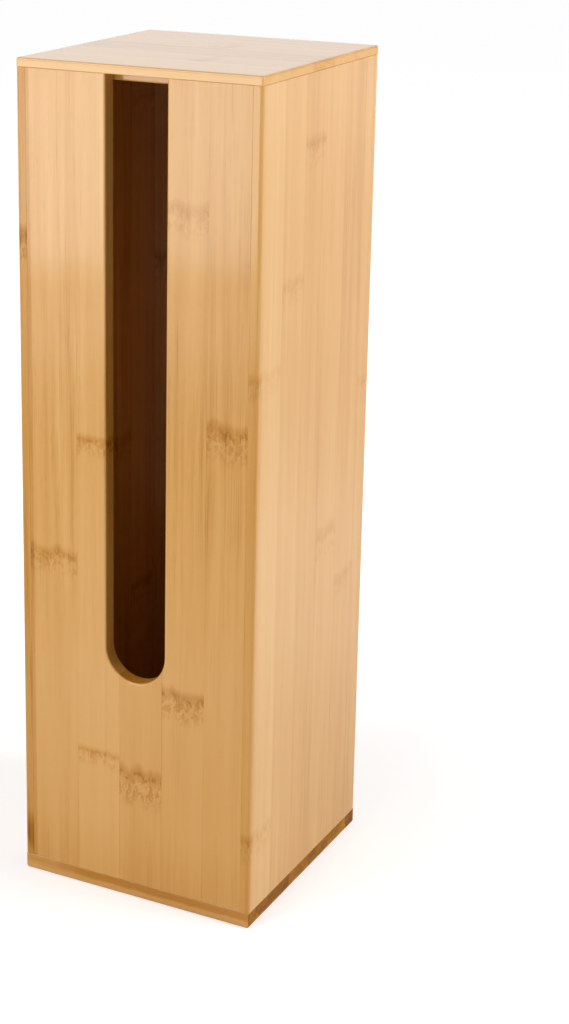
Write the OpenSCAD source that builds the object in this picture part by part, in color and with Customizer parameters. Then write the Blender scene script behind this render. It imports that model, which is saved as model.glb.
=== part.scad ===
// Tall bamboo box with a lift-off lid, which stores a stack of spare toilet rolls.
// The origin is the centre of the footprint on the surface that the box stands on.
// +Z is up, the slot in the front panel faces -Y, and +X is to the right of it.

/* [Box] */
// Width of the box across its front
box_w = 130; // [115:1:180]
// Depth of the box from front to back
box_d = 130; // [115:1:180]
// Height of the box with its lid on
box_h = 425; // [230:1:640]
// Thickness of the four wall boards
wall_t = 8.5; // [6:0.5:12]
// Thickness left beside the rebates that take the front and back boards, as the side boards' edges show it
side_edge_t = 5; // [3:0.5:5.5]
// Thickness of the base board
base_t = 8.5; // [5:0.5:12]

/* [Slot] */
// Width of the slot in the front panel
slot_w = 33; // [20:1:60]
// Height of the slot's lowest point above the surface that the box stands on
slot_foot_z = 119; // [60:0.5:150]

/* [Lid] */
// Thickness of the lid board
lid_t = 4.5; // [3:0.5:12]
// Thickness of the locating board under the lid
locating_t = 4; // [2:0.5:10]
// Play between the locating board and each wall
locating_play = 0.7; // [0.3:0.1:2]

/* [Edges] */
// Radius of the walls' four upright corners
corner_r = 1.5; // [0.5:0.1:3]
// Radius of the upright corners of the lid and the base board
cap_corner_r = 1; // [0.5:0.1:3]
// Radius of the lid's upper edge
lid_edge_r = 1.2; // [0.5:0.1:2.5]
// Radius of the base board's lower edge
base_edge_r = 1.8; // [0.5:0.1:3]
// Radius of the small easing where two boards meet, which leaves a fine line
seam_r = 0.4; // [0.2:0.1:0.8]
// Radius that both edges of the slot are eased to
slot_edge_r = 1; // [0.3:0.1:2]
// Radius of the locating board's upright corners
locating_corner_r = 3; // [0.5:0.5:8]
// Radius of the locating board's lower edge
locating_edge_r = 0.8; // [0.2:0.1:1.5]

/* [Hidden] */

// Each piece's colour
wall_colour = [0.87, 0.66, 0.42];
panel_colour = [0.89, 0.69, 0.46];
base_colour = [0.72, 0.50, 0.27];
lid_colour = [0.90, 0.78, 0.64];

// The walls stand on the base board and carry the lid
wall_top_z = box_h - lid_t;
wall_h = wall_top_z - base_t;
// The front and back panels fit into rebates in the two side panels
panel_w = box_w - 2 * side_edge_t;
rebate_t = wall_t - side_edge_t;
// The well inside the walls
well_w = box_w - 2 * wall_t;
well_d = box_d - 2 * wall_t;
// The slot ends in a half circle
slot_r = slot_w / 2;
slot_centre_z = slot_foot_z + slot_r;
// How far a cut runs past the face that it leaves
overrun = 1;
$fn = 64;

// Waste outside a quarter circle of radius r, for a corner at the origin with its board towards +X and +Y
module corner_waste(r) {
    difference() {
        translate([-overrun, -overrun]) square(r + overrun);
        translate([r, r]) circle(r);
    }
}

// Rectangle of size w by h, centred on X and standing on the X axis,
// with corner radii in the order lower left, lower right, upper right, upper left
module eased_rectangle(w, h, radii) {
    corners = [[-w / 2, 0], [w / 2, 0], [w / 2, h], [-w / 2, h]];
    difference() {
        translate([-w / 2, 0]) square([w, h]);
        for (i = [0:3]) if (radii[i] > 0)
            translate(corners[i]) rotate(90 * i) corner_waste(radii[i]);
    }
}

// Board of size w by d by t, centred on Z and standing on the XY plane,
// with rounded upright corners and its own radius along its lower and its upper edges
module eased_board(w, d, t, upright_r, lower_r, upper_r) {
    edge_radii = [lower_r, lower_r, upper_r, upper_r];
    intersection() {
        linear_extrude(t) translate([0, -d / 2])
            eased_rectangle(w, d, [upright_r, upright_r, upright_r, upright_r]);
        translate([0, d / 2, 0]) rotate([90, 0, 0]) linear_extrude(d)
            eased_rectangle(w, t, edge_radii);
        translate([-w / 2, 0, 0]) rotate([90, 0, 90]) linear_extrude(w)
            eased_rectangle(d, t, edge_radii);
    }
}

// Full-size board under the walls
module base_board() {
    color(base_colour)
        eased_board(box_w, box_d, base_t, cap_corner_r, base_edge_r, seam_r);
}

// Side board of the full depth, with its outer corners rounded and a rebate along each inner edge for the
// front and back boards; the left one, so its outer face is at -X
module side_board() {
    translate([(wall_t - box_w) / 2, -box_d / 2, base_t]) linear_extrude(wall_h) difference() {
        eased_rectangle(wall_t, box_d, [corner_r, 0, 0, corner_r]);
        for (y = [-overrun, box_d - wall_t])
            translate([wall_t / 2 - rebate_t, y]) square([rebate_t + overrun, wall_t + overrun]);
    }
}

module left_panel() {
    color(wall_colour) side_board();
}

module right_panel() {
    color(wall_colour) mirror([1, 0, 0]) side_board();
}

// Plain board in the side panels' rebates; the back one, with its inner face towards -Y
module back_panel() {
    color(panel_colour) translate([-panel_w / 2, well_d / 2, base_t])
        cube([panel_w, wall_t, wall_h]);
}

// Opening of the slot through the front panel, from its half-round foot up past the panel's top
module slot_opening() {
    translate([0, -box_d / 2 - overrun, slot_centre_z]) rotate([-90, 0, 0]) {
        cylinder(r = slot_r, h = wall_t + 2 * overrun);
        translate([-slot_r, slot_centre_z - wall_top_z - overrun, 0])
            cube([slot_w, wall_top_z + overrun - slot_centre_z, wall_t + 2 * overrun]);
    }
}

// Waste that eases the slot's edge up its right side, on the face towards -Y
module slot_side_waste() {
    translate([slot_r, 0, 0]) linear_extrude(wall_top_z + overrun - slot_centre_z)
        corner_waste(slot_edge_r);
}

// Waste that eases the slot's edge on the panel's outer face, round the foot and up both sides
module slot_edge_waste() {
    translate([0, -box_d / 2, slot_centre_z]) {
        rotate([-90, 0, 0]) rotate_extrude(angle = 180)
            translate([slot_r, 0]) corner_waste(slot_edge_r);
        slot_side_waste();
        mirror([1, 0, 0]) slot_side_waste();
    }
}

// Board with the slot, in the side panels' rebates
module front_panel() {
    color(panel_colour) difference() {
        translate([-panel_w / 2, -box_d / 2, base_t]) cube([panel_w, wall_t, wall_h]);
        slot_opening();
        slot_edge_waste();
        // The same easing on the inner face
        translate([0, wall_t - box_d, 0]) mirror([0, 1, 0]) slot_edge_waste();
    }
}

// Full-size board that closes the top
module lid_board() {
    color(lid_colour) translate([0, 0, wall_top_z])
        eased_board(box_w, box_d, lid_t, cap_corner_r, seam_r, lid_edge_r);
}

// Smaller board glued under the lid, which drops between the walls with a little play
module lid_locating_board() {
    color(lid_colour) translate([0, 0, wall_top_z - locating_t])
        eased_board(well_w - 2 * locating_play, well_d - 2 * locating_play, locating_t,
            locating_corner_r, locating_edge_r, 0);
}

base_board();
left_panel();
right_panel();
back_panel();
front_panel();
lid_board();
lid_locating_board();
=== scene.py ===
import bpy
import numpy as np
from mathutils import Matrix, Vector


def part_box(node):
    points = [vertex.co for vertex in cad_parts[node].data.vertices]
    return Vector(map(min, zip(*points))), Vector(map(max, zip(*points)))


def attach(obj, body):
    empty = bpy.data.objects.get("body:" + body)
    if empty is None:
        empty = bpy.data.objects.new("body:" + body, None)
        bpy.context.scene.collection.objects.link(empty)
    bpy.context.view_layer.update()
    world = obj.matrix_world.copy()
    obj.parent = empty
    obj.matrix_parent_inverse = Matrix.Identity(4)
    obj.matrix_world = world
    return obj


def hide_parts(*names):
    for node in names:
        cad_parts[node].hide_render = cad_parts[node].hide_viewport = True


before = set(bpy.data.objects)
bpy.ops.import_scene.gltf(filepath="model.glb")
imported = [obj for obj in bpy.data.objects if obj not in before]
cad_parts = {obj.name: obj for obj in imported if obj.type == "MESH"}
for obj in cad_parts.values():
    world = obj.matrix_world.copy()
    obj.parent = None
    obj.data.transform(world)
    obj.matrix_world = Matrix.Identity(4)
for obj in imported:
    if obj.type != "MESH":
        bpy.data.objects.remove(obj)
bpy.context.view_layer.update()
MM = 0.001

# Camera
# A long lens in front of the box, to its right and a little above its lid. The picture is a crop of a
# larger one, so the lens's own centre lies off its middle.
focal_px = 2129
centre_px = (150, 380)
picture_px = (569, 1024)
sensor_mm = 36
camera_from = Vector((476.0, -916.3, 555.5)) * MM
azimuth, elevation, roll = np.radians((28.8, 16.0, 0.22))

long_px = max(picture_px)
ahead = Vector((-np.sin(azimuth), np.cos(azimuth), 0))
forward = ahead * np.cos(elevation) - Vector((0, 0, np.sin(elevation)))
level = forward.cross(Vector((0, 0, 1))).normalized()
plumb = level.cross(forward)
rightward = level * np.cos(roll) + plumb * np.sin(roll)
upward = plumb * np.cos(roll) - level * np.sin(roll)

camera = bpy.data.objects.new("camera", bpy.data.cameras.new("camera"))
bpy.context.scene.collection.objects.link(camera)
camera.data.sensor_width = sensor_mm
camera.data.lens = focal_px * sensor_mm / long_px
camera.data.shift_x = (picture_px[0] / 2 - centre_px[0]) / long_px
camera.data.shift_y = (centre_px[1] - picture_px[1] / 2) / long_px
turned = Matrix((rightward, upward, -forward)).transposed().to_4x4()
camera.matrix_world = Matrix.Translation(camera_from) @ turned
bpy.context.scene.camera = camera


# Base board
# One board the full size of the box, glued under the four walls. It is pressed from flat bamboo slats,
# eased along its edges and lacquered. Its front edge shows the darker skin side of a slat.
cap_corner_r = 1 * MM
base_edge_r = 1.8 * MM
seam_r = 0.35 * MM
# Guard points lie this far beside each arc, and an arc that is drawn in keeps at least this radius
guard = 0.25 * MM
tightest = 0.02 * MM


def outline(corners, radii, arc_steps=6, run_steps=14):
    """Follow a right-angled outline anticlockwise and give what places each of its points: a corner, the
    sum of the outward normals of its two sides, the point's own outward normal, a radius, and a step off
    the corner. Round a corner the normal turns from one side's to the other's, and a negative radius fills
    an inner corner. Points on a side share out its two corners' values. A guard point beside each arc
    keeps the side flat."""
    corners = np.array(corners, float)
    along = np.roll(corners, -1, axis=0) - corners
    along /= np.linalg.norm(along, axis=1, keepdims=True)
    out = np.stack([along[:, 1], -along[:, 0]], axis=1)[:, None]
    back = np.roll(out, 1, axis=0)
    hand = back[..., :1] * out[..., 1:] - back[..., 1:] * out[..., :1]
    turn = np.linspace(0, np.pi / 2, arc_steps + 1)[[0, *range(arc_steps + 1), -1]][:, None]
    ones = np.ones_like(turn)
    number = np.arange(len(turn))[:, None]
    step = -guard * hand * (out * (number == 0) + back * (number > arc_steps + 1))
    here = np.concatenate([
        corners[:, None] * ones, (back + out) * ones, back * np.cos(turn) + out * np.sin(turn),
        np.array(radii, float)[:, None, None] * ones, step,
    ], axis=-1)
    share = np.linspace(0, 1, run_steps + 2)[1:-1, None]
    side = here[:, -1:] * (1 - share) + np.roll(here, -1, axis=0)[:, :1] * share
    return np.split(np.concatenate([here, side], axis=1).reshape(-1, 9), [2, 4, 6, 7], axis=1)


def drawn_in(places, inset, half=1.0):
    """Points of an outline drawn in by inset: each arc keeps its centre and its radius shrinks by the
    inset, or grows by it where it fills an inner corner. Corners at -1 and 1 are scaled to a rectangle's
    half size."""
    corner, pair, normal, radius, step = places
    radius = radius[:, 0]
    left = np.where(radius > 0, np.maximum(radius - inset, tightest), radius - inset)[..., None]
    return corner * half - (left + inset[..., None]) * pair + left * normal + step


def eased_end(radius, arc_steps=6):
    """How far the rings over a board's end are drawn in, and how far they lie below its flat face. They
    run from the side, through a quarter circle of that radius, on to the face, with a guard ring at each
    side of the arc."""
    radius = np.full((1, 1), radius)
    turn = np.linspace(0, np.pi / 2, arc_steps + 1)[:, None]
    inset = np.concatenate([0 * radius, radius * (1 - np.cos(turn)), radius + guard])
    drop = np.concatenate([radius + guard, radius * (1 - np.sin(turn)), 0 * radius])
    return inset, drop


def eased_board(corners, radii, low_z, high_z, lower, upper):
    """Rings of a board with that outline: copies of it, drawn in at the foot and the head by quarter
    circles of radius lower and upper."""
    places = outline(corners, radii)
    foot_in, foot_up = eased_end(lower)
    head_in, head_down = eased_end(upper)
    inset = np.concatenate([foot_in[::-1], head_in])
    z = np.concatenate([low_z + foot_up[::-1], high_z - head_down])
    inset, z = (np.broadcast_to(part, (len(part), len(places[0]))) for part in (inset, z))
    return np.concatenate([drawn_in(places, inset), z[..., None]], axis=-1)


def rectangle(low, high):
    """Corners of a box in plan, anticlockwise from the one at the front right."""
    return [(high[0], low[1]), (high[0], high[1]), (low[0], high[1]), (low[0], low[1])]


def make_piece(name, rings, body, node, finish):
    """Skins the rings with quads, closes both ends on a middle point, and replaces the piece's node."""
    rows, columns = rings.shape[:2]
    points = np.concatenate([rings.reshape(-1, 3), rings[:1].mean(axis=1), rings[-1:].mean(axis=1)])
    here = np.arange(rows * columns).reshape(rows, columns)
    beside = np.roll(here, -1, axis=1)
    quads = np.stack([here[:-1], beside[:-1], beside[1:], here[1:]], axis=-1).reshape(-1, 4)
    foot, head = rows * columns, rows * columns + 1
    foot_fan = np.stack([np.full(columns, foot), beside[0], here[0]], axis=-1)
    head_fan = np.stack([np.full(columns, head), here[-1], beside[-1]], axis=-1)
    mesh = bpy.data.meshes.new(name)
    mesh.from_pydata(points.tolist(), [], quads.tolist() + foot_fan.tolist() + head_fan.tolist())
    mesh.polygons.foreach_set("use_smooth", np.ones(len(mesh.polygons), bool))
    mesh.materials.append(finish)
    piece = bpy.data.objects.new(name, mesh)
    bpy.context.scene.collection.objects.link(piece)
    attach(piece, body)
    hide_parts(node)


class Wire:
    """A shader value. Sums, products and comparisons of wires and numbers add their Math nodes."""

    def __init__(self, finish, socket):
        self.finish = finish
        self.socket = socket

    def maths(self, operation, *values):
        return self.finish.node("ShaderNodeMath", {"operation": operation}, dict(enumerate(values)))

    def __add__(self, other):
        return self.maths("ADD", self, other)

    def __radd__(self, other):
        return self.maths("ADD", other, self)

    def __sub__(self, other):
        return self.maths("SUBTRACT", self, other)

    def __rsub__(self, other):
        return self.maths("SUBTRACT", other, self)

    def __mul__(self, other):
        return self.maths("MULTIPLY", self, other)

    def __rmul__(self, other):
        return self.maths("MULTIPLY", other, self)

    def __truediv__(self, other):
        return self.maths("DIVIDE", self, other)

    def __gt__(self, other):
        return self.maths("GREATER_THAN", self, other)

    def __abs__(self):
        return self.maths("ABSOLUTE", self)

    def least(self, other):
        return self.maths("MINIMUM", self, other)

    def rise(self, start, end):
        """0 before start and 1 past end, with an eased slope between them; start may lie above end."""
        ends = (0.0, 1.0) if start < end else (1.0, 0.0)
        return self.finish.node(
            "ShaderNodeMapRange", {"interpolation_type": "SMOOTHSTEP"},
            {0: self, 1: min(start, end), 2: max(start, end), 3: ends[0], 4: ends[1]},
        )


class Finish:
    """The nodes of one material, or of the world, from an empty tree to its output."""

    def __init__(self, owner):
        owner.use_nodes = True
        self.owner = owner
        self.tree = owner.node_tree
        self.tree.nodes.clear()

    def node(self, kind, settings, sockets, output=0):
        """Adds a node with its settings, then fills its sockets with values or wires. A ramp's settings
        are its stops, or its steps where it jumps from one colour to the next."""
        made = self.tree.nodes.new(kind)
        for key, value in settings.items():
            if key in ("stops", "steps"):
                made.color_ramp.interpolation = "LINEAR" if key == "stops" else "CONSTANT"
                self.set_stops(made.color_ramp, value)
            else:
                setattr(made, key, value)
        for key, value in sockets.items():
            if isinstance(value, Wire):
                self.tree.links.new(value.socket, made.inputs[key])
            else:
                made.inputs[key].default_value = value
        return Wire(self, made.outputs[output]) if made.outputs else None

    def set_stops(self, ramp, stops):
        """Clears a ramp and gives it colours at their places along it."""
        while len(ramp.elements) > 1:
            ramp.elements.remove(ramp.elements[-1])
        ramp.elements[0].position = stops[0][0]
        ramp.elements[0].color = (*stops[0][1], 1.0)
        for place, colour in stops[1:]:
            ramp.elements.new(place).color = (*colour, 1.0)

    def vector(self, x, y, z):
        return self.node("ShaderNodeCombineXYZ", {}, {0: x, 1: y, 2: z})

    def noise(self, place, detail, distortion=0.0):
        """Noise from 0 to 1 in cells of size one."""
        return self.node(
            "ShaderNodeTexNoise", {},
            {"Vector": place, "Scale": 1.0, "Detail": detail, "Distortion": distortion},
        )

    def lookup(self, slat, rows):
        """Three values for each slat, kept as colours of a stepped ramp and read at the slat's number."""
        steps = [(number / len(rows), row) for number, row in enumerate(rows)]
        colour = self.node("ShaderNodeValToRGB", {"steps": steps}, {0: (slat + 0.5) / len(rows)})
        return [self.node("ShaderNodeSeparateColor", {}, {0: colour}, part) for part in range(3)]


# A growth node is a band of short dark curls across one slat, where the stem had a joint. It is given as
# its middle along the slat and its height there, both in millimetres, and how dark it is. A ramp keeps
# each of these as a share of the largest one, and on a plain slat the growth node lies off the board.
plain = (-300, 1, 0)
largest = (1000, 50, 4)


def growth_nodes(finish, slat, across, through, along, rows, seed):
    """How dark one growth node on each slat makes it: a band with a darker cap along its upper side, dark
    strokes in the band, and pale curls among them, which are the level lines of a bent noise."""
    shares = finish.lookup(slat, [tuple(part / most for part, most in zip(row, largest)) for row in rows])
    middle, height, depth = (share * most for share, most in zip(shares, largest))
    wander = finish.noise(finish.vector(across / 8, through / 8 + seed, slat * 5), 1.5)
    step = (along - middle) / height + (wander - 0.5) * 0.7
    cap = step.rise(0.0, 0.35) * step.rise(0.7, 0.45)
    band = step.rise(-0.75, -0.1) * step.rise(0.5, 0.3)
    stroke_place = finish.vector(across / 2.3 + slat * 9, through / 2 + seed, along / 4.2)
    stroke = finish.noise(stroke_place, 1.5, 1.0).rise(0.42, 0.60)
    curl_place = finish.vector(across / 3.6 + slat * 4, through / 3.2 + seed, along / 4.6)
    curl = finish.noise(curl_place, 1, 1.3)
    curls = abs(curl - 0.5).rise(0.06, 0.0)
    return (cap * 0.15 + band * (0.03 + stroke * 0.16 - curls * 0.07)) * depth


# Bamboo's colours from its darkest tone, where it is reddest, to its palest
bamboo_colours = [
    (0.00, (0.205, 0.062, 0.002)),
    (0.25, (0.460, 0.184, 0.008)),
    (0.50, (0.650, 0.325, 0.074)),
    (0.75, (0.735, 0.412, 0.128)),
    (1.00, (0.805, 0.512, 0.222)),
]
wood_roughness = 0.45
wood_shine = 0.15
lacquer_weight = 0.8
lacquer_roughness = 0.11
relief_strength = 0.25
relief_depth = 0.06 * MM


def bamboo(name, ways, lines, slats, growth, seed, end_tone=-0.05, stain_and_painted_light=None, calm_height=None):
    """Lacquered board of flat bamboo slats. ways names the axes across the slats, through the board and
    along the grain. lines are the glue lines between the slats, in millimetres, and slats is each one's
    tone, where 0.5 is middling, and how strongly its grain shows. growth holds lists of growth nodes, with
    one entry to a slat. end_tone is added on the slats' sawn ends. A tone function, where one is given,
    makes the board darker or paler from the place in millimetres: with stains, and on some boards with
    painted shade or a painted highlight. Below calm_height, in millimetres, the grain is weaker. Noise
    drawn out along the grain is added to the tone, and one ramp turns the sum into a colour, so that what
    is darker is redder. Sawn ends, growth nodes, stains and the painted shade drink in some of the
    lacquer."""
    finish = Finish(bpy.data.materials.new(name))
    spot = finish.node("ShaderNodeTexCoord", {}, {}, "Object")
    facing = finish.node("ShaderNodeTexCoord", {}, {}, "Normal")
    places = [finish.node("ShaderNodeSeparateXYZ", {}, {0: spot}, axis) * (1 / MM) for axis in range(3)]
    axes = ["XYZ".index(way) for way in ways]
    across, through, along = (places[axis] for axis in axes)
    end_grain = abs(finish.node("ShaderNodeSeparateXYZ", {}, {0: facing}, axes[2])).rise(0.6, 0.9)

    slat = sum(across > line for line in lines)
    tone, figure, _ = finish.lookup(slat, [(*slat_look, 0) for slat_look in slats])
    apart = abs(across - lines[0])
    for line in lines[1:]:
        apart = apart.least(abs(across - line))

    def streaks(width, length, detail, draw):
        """Noise in cells of that width and length in millimetres, drawn afresh for each slat."""
        cell = (across / width + slat * 7.3, through / width + seed + draw, along / length + slat * 3.1)
        return finish.noise(finish.vector(*cell), detail)

    if calm_height:
        figure = figure * (along.rise(calm_height - 100, calm_height + 100) * 0.8 + 0.6)
    marks = sum(growth_nodes(finish, slat, across, through, along, rows, seed) for rows in growth)
    broad = streaks(7, 160, 1, 0)
    strand = streaks(2.2, 90, 2, 11)
    fibre = streaks(0.7, 30, 2, 23)
    dash = streaks(0.45, 7, 0, 37).rise(0.66, 0.78)
    vein = streaks(1.3, 70, 1, 83).rise(0.62, 0.74)
    glue = apart.rise(0.45, 0.1) * streaks(3, 40, 0, 51).rise(0.3, 0.6)
    patch = streaks(9, 110, 0, 67).rise(0.3, 0.7) * 1.1 + 0.45
    fine_grain = (strand - 0.5) * 0.3 + (fibre - 0.5) * 0.2
    grain = ((broad - 0.5) * 0.34 + fine_grain * patch) * figure
    # A tone function adds stains here, and on some boards painted shade or a painted highlight.
    if stain_and_painted_light:
        marks = marks + stain_and_painted_light(finish, places, end_grain)
    value = tone + grain - (dash * 0.05 + vein * 0.12) * figure - glue * 0.1 - marks + end_grain * end_tone
    colour = finish.node("ShaderNodeValToRGB", {"stops": bamboo_colours}, {0: value})
    rough = wood_roughness + (fibre - 0.5) * 0.12 + end_grain * 0.15 + marks * 0.3
    drunk_in = end_grain * 0.35 + marks * 1.1
    lacquer = drunk_in.rise(0.9, 0.0) * lacquer_weight
    relief = fibre * 0.5 + strand * 0.3 - glue * 0.6 - dash * 0.4 - marks
    normal = finish.node(
        "ShaderNodeBump", {}, {"Strength": relief_strength, "Distance": relief_depth, "Height": relief})
    surface = finish.node("ShaderNodeBsdfPrincipled", {}, {
        "Base Color": colour, "Roughness": rough, "Normal": normal, "Specular IOR Level": wood_shine,
        "Coat Weight": lacquer, "Coat Roughness": lacquer_roughness,
    })
    finish.node("ShaderNodeOutputMaterial", {}, {"Surface": surface})
    return finish.owner


def skin_side_and_shade(finish, places, end_grain):
    """Darker skin along the upper half of the base board's front and back edges, and a darker tone over
    its sawn ends, which is partly end grain and partly painted shade. It has a ragged lower side, and it
    thins out towards the left."""
    x, y, z = places
    ragged = finish.noise(finish.vector(x / 9, y / 9, 0), 2) - 0.5
    edge_skin = (z + ragged * 2).rise(3.4, 5.0) * (x + ragged * 60).rise(-75, -20) * 0.17
    # Over the sawn ends: end grain, darkened further by painted shade.
    end_skin_and_shade = (z + ragged * 2).rise(0.8, 2.4) * 0.3
    return edge_skin * (1 - end_grain) + end_skin_and_shade * end_grain


base_low, base_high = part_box("base_board")
base_finish = bamboo(
    "base bamboo", "YZX", lines=(-42, -18, 6, 30, 54),
    slats=[(0.46, 0.7), (0.42, 0.7), (0.5, 0.7), (0.44, 0.7), (0.5, 0.7), (0.4, 0.7)],
    growth=[[plain, (-20, 16, 0.7), plain, (35, 18, 0.6), plain, (-44, 14, 0.5)]], seed=3, stain_and_painted_light=skin_side_and_shade,
)
base_rings = eased_board(
    rectangle(base_low, base_high), [cap_corner_r] * 4, base_low[2], base_high[2], base_edge_r, seam_r)
make_piece("bamboo_base", base_rings, "box", "base_board", base_finish)


# Side walls
# Two boards of the box's full depth. A rebate down each inner edge takes the front or the back wall, so
# the front edges show as narrow strips. The slats stand upright, and each front edge is one slat's side.
corner_r = 1.5 * MM
rebate_fillet_r = 0.1 * MM
# Radius of the small easing of an edge that lies against another board
joint_r = seam_r / 4
front_low, front_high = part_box("front_panel")


def side_wall(name, node, hand, finish):
    """Side wall at the right with hand 1, or at the left with hand -1: in plan a rectangle less a rebate
    at each inner corner, as wide as the front wall overlaps it and as deep as that wall is thick."""
    low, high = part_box(node)
    outer, inner = (high[0], low[0]) if hand > 0 else (-low[0], -high[0])
    edge, ledge = front_high[0], -front_high[1]
    depth = high[1]
    right = np.array([
        (outer, -depth), (outer, depth), (edge, depth), (edge, ledge),
        (inner, ledge), (inner, -ledge), (edge, -ledge), (edge, -depth),
    ])
    rebate_radii = [joint_r, -rebate_fillet_r, joint_r]
    radii = [corner_r, corner_r, *rebate_radii, *rebate_radii]
    rings = eased_board((right * (hand, 1))[::hand], radii[::hand], low[2], high[2], joint_r, joint_r)
    make_piece(name, rings, "box", node, finish)


def front_edge(finish, places, end_grain):
    """Redder wood round a side wall's front edge, which is the side of its first slat. It starts a few
    millimetres back on the wall's face, and it is darkest on the edge itself."""
    y = places[1]
    return y.rise(-58.5, -64) * 0.24 + y.rise(-64.3, -64.95) * 0.05


def paler_front_edge(finish, places, end_grain):
    """The right wall's front edge is paler, the more so towards its top."""
    return front_edge(finish, places, end_grain) * (0.88 - places[2].rise(250, 390) * 0.42)


def spotted_front_edge(finish, places, end_grain):
    """The left wall's front edge is deeper in colour, and it has a slanting dark spot near its foot."""
    x, y, z = places
    spot = y.rise(-64, -64.9) * (z + (x + 62) * 1.5).rise(8, 18) * (z - x * 0.5).rise(68, 54)
    return front_edge(finish, places, end_grain) * 1.12 + spot * 0.22


right_finish = bamboo(
    "right wall bamboo", "YXZ", lines=(-41, -18, 4.8, 27.9, 50.8),
    slats=[(0.70, 0.5), (0.57, 0.6), (0.50, 0.6), (0.54, 0.6), (0.48, 0.6), (0.50, 0.6)],
    growth=[
        [(280, 12, 0.45), (319, 13, 0.45), (383, 14, 0.5), (179, 18, 0.45), plain, plain],
        [(44, 13, 0.6), plain, plain, plain, (150, 12, 0.35), (250, 13, 0.35)],
    ], seed=17, stain_and_painted_light=paler_front_edge,
)
side_wall("bamboo_right_wall", "right_panel", 1, right_finish)

left_finish = bamboo(
    "left wall bamboo", "YXZ", lines=(-40, -16, 8, 32, 56),
    slats=[(0.70, 0.7), (0.56, 0.8), (0.5, 0.7), (0.46, 0.8), (0.53, 0.7), (0.5, 0.8)],
    growth=[
        [(334, 19, 0.9), plain, (351, 15, 0.6), plain, (120, 15, 0.7), plain],
        [plain, (92, 15, 0.5), plain, (208, 14, 0.7), (388, 15, 0.5), plain],
    ], seed=29, stain_and_painted_light=spotted_front_edge,
)
side_wall("bamboo_left_wall", "left_panel", -1, left_finish)


# Back wall
# A plain board in the side walls' rebates, with its slats upright.
back_finish = bamboo(
    "back wall bamboo", "XYZ", lines=(-38, -14, 10, 34),
    slats=[(0.5, 0.8), (0.56, 0.7), (0.46, 0.8), (0.52, 0.7), (0.49, 0.8)],
    growth=[
        [(302, 15, 0.7), plain, (372, 16, 0.7), plain, (255, 15, 0.8)],
        [plain, (148, 16, 0.8), (66, 14, 0.5), (198, 15, 0.6), plain],
    ], seed=41,
)
back_edge_r = seam_r / 2
back_low, back_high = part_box("back_panel")
back_rings = eased_board(
    rectangle(back_low, back_high), [back_edge_r] * 4, back_low[2], back_high[2], back_edge_r, back_edge_r)
make_piece("bamboo_back_wall", back_rings, "box", "back_panel", back_finish)


# Front wall
# A board in the side walls' rebates with a slot sawn down from its top, which ends in a half circle. The
# slot's edges are eased all the way round on both faces.
slot_w = 33 * MM
slot_foot_z = 119 * MM
slot_edge_r = 1 * MM
# How far below the board's top the even steps down the slot start
leg_start = 5 * MM


def slotted_board(low, high, arc_steps=24, leg_steps=12):
    """Rings of the front wall, which is one bar bent round the slot. A station of the bar joins a point of
    the slot to the point of the board's outline straight beyond it: level along both legs, and like the
    spokes of a fan round the half circle. Each ring is a rounded rectangle between its two points and the
    board's faces."""
    slot_r = slot_w / 2
    centre_z = slot_foot_z + slot_r
    places = outline(rectangle((-1, -1), (1, 1)), [joint_r, joint_r, slot_edge_r, slot_edge_r])
    end_in, end_down = (part[:, 0] for part in eased_end(joint_r))
    even_z = np.linspace(high[2] - leg_start, centre_z, leg_steps)
    leg_z = np.concatenate([high[2] - end_down[::-1], even_z])
    leg_in = np.concatenate([end_in[::-1], np.zeros(leg_steps)])

    side = high[0]
    to_corner = np.arctan2(centre_z - low[2], side)
    spoke = np.concatenate([
        np.linspace(0, to_corner, arc_steps // 3, endpoint=False),
        np.linspace(to_corner, np.pi - to_corner, arc_steps, endpoint=False),
        np.linspace(np.pi - to_corner, np.pi, arc_steps // 3 + 1),
    ])[1:-1]
    reach = np.minimum(side / np.abs(np.cos(spoke)), (centre_z - low[2]) / np.sin(spoke))
    way = np.stack([-np.cos(spoke), -np.sin(spoke)], axis=1)
    hub = np.array([0, centre_z])

    def leg(hand):
        """Slot point and outline point of the stations down one leg, on the side that hand gives."""
        return (np.stack([np.full_like(leg_z, hand * x), leg_z], axis=1) for x in (slot_r, side))

    left_slot, left_out = leg(-1)
    right_slot, right_out = leg(1)
    slot_point = np.concatenate([left_slot, hub + way * slot_r, right_slot[::-1]])
    out_point = np.concatenate([left_out, hub + way * reach[:, None], right_out[::-1]])
    inset = np.concatenate([leg_in, np.zeros(len(spoke)), leg_in[::-1]])[:, None]

    span = out_point - slot_point
    length = np.linalg.norm(span, axis=1, keepdims=True)
    half = np.stack([length / 2, np.full_like(length, (high[1] - low[1]) / 2)], axis=-1)
    flat = drawn_in(places, np.broadcast_to(inset, (len(span), len(places[0]))), half)
    xz = (slot_point + out_point)[:, None] / 2 + flat[..., :1] * (span / length)[:, None]
    y = flat[..., 1:] + (low[1] + high[1]) / 2
    return np.concatenate([xz[..., :1], y, xz[..., 1:]], axis=-1)


def front_tones_and_shade(finish, places, end_grain):
    """The front wall's left edge takes the side wall's redder tone, and its middle is a little deeper in
    colour. Painted shade darkens its foot, where it meets the base, and the sides of its slot, back from
    its face."""
    x, y, z = places
    left_edge = x.rise(-57.2, -58.6) * 0.16
    # The middle band is deeper in colour; the band at the foot is painted shade where the wall meets the
    # base.
    deeper_middle_and_shaded_foot = z.rise(165, 235) * z.rise(325, 275) * 0.03 + z.rise(45, 12) * 0.06
    # Painted shade on the sides of the slot, behind their eased front edges.
    shaded_slot_sides = abs(x).rise(16.8, 16.55) * y.rise(-64.6, -64.0) * 0.15
    return left_edge + deeper_middle_and_shaded_foot + shaded_slot_sides


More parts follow.
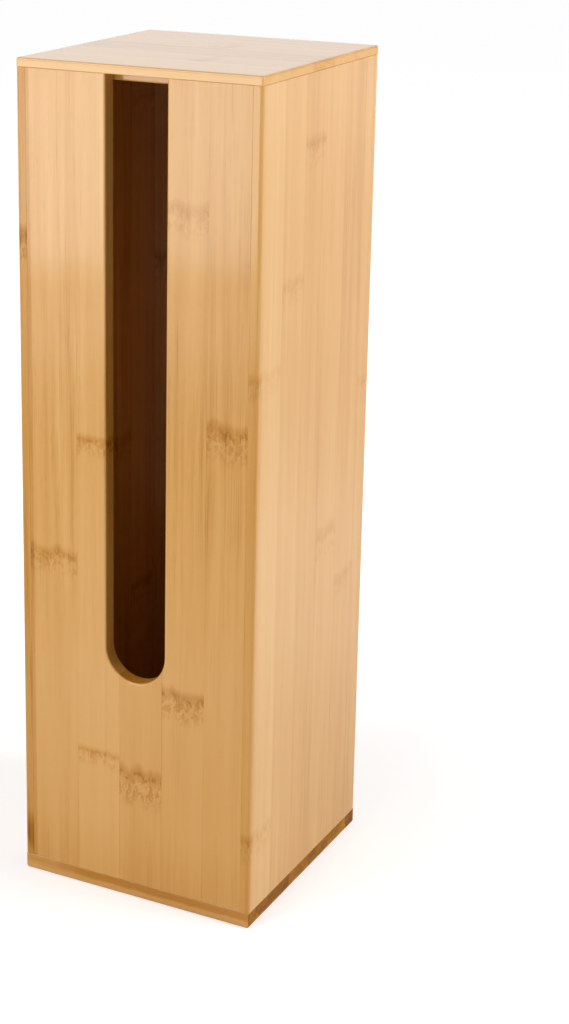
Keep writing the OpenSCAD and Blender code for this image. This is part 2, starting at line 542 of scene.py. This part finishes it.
front_finish = bamboo(
    "front wall bamboo", "XYZ", lines=(-32.8, -8.8, 15.3, 38.6),
    slats=[(0.54, 0.9), (0.60, 0.7), (0.5, 0.6), (0.51, 0.6), (0.51, 0.6)],
    growth=[
        [plain, (238, 10, 0.9), plain, (356, 15, 0.55), (251, 17, 0.9)],
        [(175, 13, 0.8), (73, 9, 0.9), (62.5, 19, 1.0), (112, 15, 1.05), plain],
    ], seed=53, stain_and_painted_light=front_tones_and_shade, calm_height=180,
)
make_piece(
    "bamboo_front_wall", slotted_board(front_low, front_high),
    "box", "front_panel", front_finish,
)


# Lid
# A loose board the full size of the box. Its slats run from side to side, so their ends show at its right
# and left edges. The smaller board glued under it drops between the walls and keeps it in place.
lid_edge_r = 1.2 * MM


def painted_highlight_edge(finish, places, end_grain):
    """The lid's front edge is paler: a painted highlight on its rounded front arris and its front face."""
    return places[1].rise(-63.8, -64.9) * -0.15


# The lid's front edge carries a painted highlight.
lid_finish = bamboo(
    "lid bamboo", "YZX", lines=(-36, -12, 12, 36, 60),
    slats=[(0.60, 0.8), (0.58, 0.7), (0.42, 0.7), (0.56, 0.7), (0.52, 0.7), (0.5, 0.7)],
    growth=[[plain, (12, 16, 0.4), plain, (-30, 15, 0.5), plain, plain]],
    seed=67, end_tone=0.06, stain_and_painted_light=painted_highlight_edge,
)
lid_low, lid_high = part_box("lid_board")
lid_rings = eased_board(
    rectangle(lid_low, lid_high), [cap_corner_r] * 4, lid_low[2], lid_high[2], seam_r, lid_edge_r)
make_piece("bamboo_lid", lid_rings, "lid", "lid_board", lid_finish)

locating_corner_r = 3 * MM
locating_edge_r = 0.8 * MM
locating_finish = bamboo(
    "locating board bamboo", "YZX", lines=(-32, -8, 16, 40),
    slats=[(0.6, 0.7), (0.5, 0.7), (0.56, 0.7), (0.46, 0.7), (0.5, 0.7)],
    growth=[[plain, (-22, 14, 0.6), plain, plain, (31, 13, 0.5)]], seed=71,
)
locating_low, locating_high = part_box("lid_locating_board")
locating_rings = eased_board(
    rectangle(locating_low, locating_high), [locating_corner_r] * 4, locating_low[2], locating_high[2],
    locating_edge_r, joint_r,
)
make_piece(
    "bamboo_locating_board", locating_rings,
    "lid", "lid_locating_board", locating_finish,
)


# Floor
# A wide white sheet under the box. To the camera it glows a little, so that it looks white where the light
# reaches it and keeps the box's soft shadow, and it glows more where it runs out of the light.
floor_reach = 6.0
floor_white = (0.70, 0.70, 0.70)
near_glow, far_glow = 0.48, 0.8
near_reach, far_reach = 0.1, 0.5
# What the lacquer mirrors of the floor glows at levels of its own, by its distance before or behind the
# box. The one list turns into the other within turnover_y of the box's middle.
mirrored_reach = 3.0
mirrored_before = [
    (0.0, 0.15), (0.2, 0.55), (0.33, 0.9), (0.43, 0.45), (0.55, 0.35), (0.69, 0.12), (0.77, 0.0),
    (0.86, 0.15), (0.95, 0.3), (1.06, 0.5), (1.2, 1.4), (1.32, 1.8), (1.48, 0.9), (1.66, 0.6), (2.0, 0.9),
    (2.4, 1.2),
]
mirrored_behind = [
    (0.0, 0.15), (0.24, 0.42), (0.36, 0.62), (0.57, 0.66), (0.71, 0.5), (0.85, 0.43), (1.0, 0.43),
    (1.22, 0.65), (1.5, 0.8), (2.0, 1.0), (2.8, 1.35),
]
turnover_y = 0.1


def rays(finish, *kinds):
    """1 for rays of these kinds, and 0 for the rest. A ray from the camera is of the Camera kind, and one
    that is mirrored or passed on is of the Glossy or the Transmission kind."""
    return sum(finish.node("ShaderNodeLightPath", {}, {}, "Is " + kind + " Ray") for kind in kinds)


floor_finish = Finish(bpy.data.materials.new("white floor"))
floor_spot = floor_finish.node("ShaderNodeTexCoord", {}, {}, "Object")
away = floor_finish.node("ShaderNodeVectorMath", {"operation": "LENGTH"}, {0: floor_spot}, "Value")
shown_glow = near_glow + away.rise(near_reach, far_reach) * (far_glow - near_glow)
before, behind = (
    floor_finish.node(
        "ShaderNodeValToRGB",
        {"stops": [(reach / mirrored_reach, (grey, grey, grey)) for reach, grey in levels]},
        {0: away / mirrored_reach},
    )
    for levels in (mirrored_before, mirrored_behind)
)
floor_y = floor_finish.node("ShaderNodeSeparateXYZ", {}, {0: floor_spot}, "Y")
mirrored_glow = before + (behind - before) * floor_y.rise(-turnover_y, turnover_y)
shown, mirrored = rays(floor_finish, "Camera"), rays(floor_finish, "Glossy", "Transmission")
glow_level = shown * shown_glow + mirrored * mirrored_glow
sheet = floor_finish.node("ShaderNodeBsdfDiffuse", {}, {"Color": (*floor_white, 1)})
glow = floor_finish.node("ShaderNodeEmission", {}, {"Color": glow_level})
both = floor_finish.node("ShaderNodeAddShader", {}, {0: sheet, 1: glow})
floor_finish.node("ShaderNodeOutputMaterial", {}, {"Surface": both})
floor_mesh = bpy.data.meshes.new("floor")
corners = np.array([[-1, -1, 0], [1, -1, 0], [1, 1, 0], [-1, 1, 0]]) * floor_reach
floor_mesh.from_pydata(corners.tolist(), [], [(0, 1, 2, 3)])
floor_mesh.materials.append(floor_finish.owner)
floor = bpy.data.objects.new("floor", floor_mesh)
bpy.context.scene.collection.objects.link(floor)


# Light
# A large soft lamp above at the front left, lower soft ones round the box that the lacquer mirrors, and
# pale air all round, which shows as white behind the box.
# How bright the air is as a light, and how bright it is where the lacquer mirrors it
air_level = 0.256
mirrored_air = 0.8


def soft_lamp(name, place, aim, size, level):
    """Square area lamp at place, turned to aim, whose face glows at that level, where 1 is white."""
    lamp = bpy.data.objects.new(name, bpy.data.lights.new(name, "AREA"))
    lamp.data.size = size
    lamp.data.energy = level * np.pi * size ** 2
    lamp.location = place
    lamp.rotation_euler = (Vector(aim) - Vector(place)).to_track_quat("-Z", "Y").to_euler()
    lamp.visible_camera = False
    bpy.context.scene.collection.objects.link(lamp)


soft_lamp("above", (-0.5, -0.85, 1.15), (0, 0, 0.35), 0.6, 6.0)
soft_lamp("front", (-0.1, -1.15, 0.6), (0, 0, 0.3), 0.5, 2.6)
soft_lamp("front left", (-0.64, -1.1, 0.3), (0, 0, 0.28), 0.5, 4.4)
soft_lamp("right", (1.1, 0.25, 0.7), (0, 0, 0.28), 0.6, 9.5)
soft_lamp("back", (0, 1.35, 0.65), (0, 0, 0.25), 0.5, 3)
soft_lamp("back left", (-0.75, 1.2, 0.9), (0, 0, 0.4), 0.8, 0.36)

air = Finish(bpy.data.worlds.new("pale air"))
bpy.context.scene.world = air.owner
air_glow = (
    air_level + rays(air, "Camera") * (1 - air_level)
    + rays(air, "Glossy", "Transmission").least(1) * (mirrored_air - air_level)
)
background = air.node("ShaderNodeBackground", {}, {"Color": air_glow})
air.node("ShaderNodeOutputWorld", {}, {"Surface": background})

bpy.context.scene.view_settings.view_transform = "Standard"
